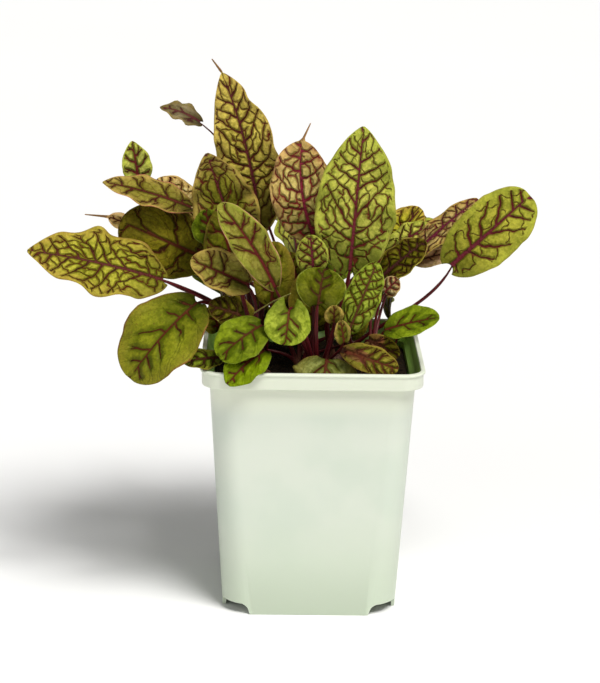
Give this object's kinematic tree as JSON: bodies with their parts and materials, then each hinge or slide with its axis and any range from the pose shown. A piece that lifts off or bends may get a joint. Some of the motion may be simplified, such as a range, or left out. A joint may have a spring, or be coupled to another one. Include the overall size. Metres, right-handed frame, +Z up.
{
  "type": "potted red-veined sorrel",
  "caption": "Square tapered nursery pot of peat with a bunch of red-veined sorrel: maroon stalks and waved oval leaves with a dark vein network.",
  "frame": {"origin": "on the pot's axis, at the surface that the pot stands on", "axes": "+Z up, -Y towards the front of the pot, +X to the viewer's right"},
  "size_m": [0.2536, 0.1683, 0.2732],
  "materials": {
    "pot": "pale mint moulded plastic with a soft sheen, darker green inside",
    "soil": "dark moist peat, granular",
    "stalk": "maroon leaf stalks, satin",
    "leaf_olive": "olive leaf with a maroon vein network and bronze margin",
    "leaf_bronze": "bronze to olive leaf with a dense maroon vein network",
    "leaf_green": "green leaf with a purple vein network",
    "leaf_bright": "bright green young leaf with a few maroon veins, glossy",
    "leaf_dark": "dark green shaded leaf with maroon veins",
    "leaf_young": "green young leaf with a maroon midrib"
  },
  "bodies": {
    "root": {"pot": "pot", "soil": "soil", "crown_front_left": "stalk", "crown_front_mid": "stalk", "crown_front_right": "stalk", "crown_mid_left": "stalk", "crown_mid_right": "stalk", "crown_back": "stalk", "young_middle": "leaf_young", "young_inner": "leaf_young", "young_right": "leaf_young", "young_left": "leaf_young", "young_back_left": "leaf_young", "young_back_right": "leaf_young", "leaf_tall_left": "leaf_olive", "leaf_tall_mid": "leaf_bronze", "leaf_tall_right": "leaf_green", "leaf_tall_low": "leaf_olive", "leaf_left_long": "leaf_bronze", "leaf_left_round": "leaf_green", "leaf_left_dark": "leaf_dark", "leaf_left_pale": "leaf_olive", "leaf_left_lobe": "leaf_bright", "leaf_left_folded": "leaf_green", "leaf_left_orange": "leaf_bronze", "leaf_left_far": "leaf_bronze", "leaf_left_bud": "leaf_bronze", "leaf_front_pale": "leaf_green", "leaf_front_dark": "leaf_dark", "leaf_front_folded": "leaf_olive", "leaf_front_hidden": "leaf_dark", "leaf_front_round": "leaf_bright", "leaf_front_over_rim": "leaf_bright", "leaf_front_corner": "leaf_dark", "leaf_mid_bright": "leaf_bright", "leaf_mid_round": "leaf_green", "leaf_mid_upright": "leaf_green", "leaf_mid_low": "leaf_green", "leaf_mid_tiny": "leaf_olive", "leaf_mid_edge": "leaf_olive", "leaf_right_crinkled": "leaf_bright", "leaf_right_oval": "leaf_bright", "leaf_right_low": "leaf_olive", "leaf_right_small": "leaf_olive", "leaf_right_maroon": "leaf_dark", "leaf_right_long": "leaf_dark", "leaf_right_net": "leaf_dark", "leaf_right_round": "leaf_green", "leaf_right_under": "leaf_dark", "leaf_right_back": "leaf_bronze", "leaf_right_grey": "leaf_green", "leaf_right_pink": "leaf_bronze", "leaf_back_high_left": "leaf_olive", "leaf_back_high_mid": "leaf_green", "leaf_back_left_long": "leaf_olive", "leaf_back_mid_long": "leaf_green", "leaf_back_right_long": "leaf_bronze", "leaf_back_right_side": "leaf_green", "leaf_back_low_left": "leaf_bright", "leaf_back_low_right": "leaf_bright"}
  },
  "joints": []
}
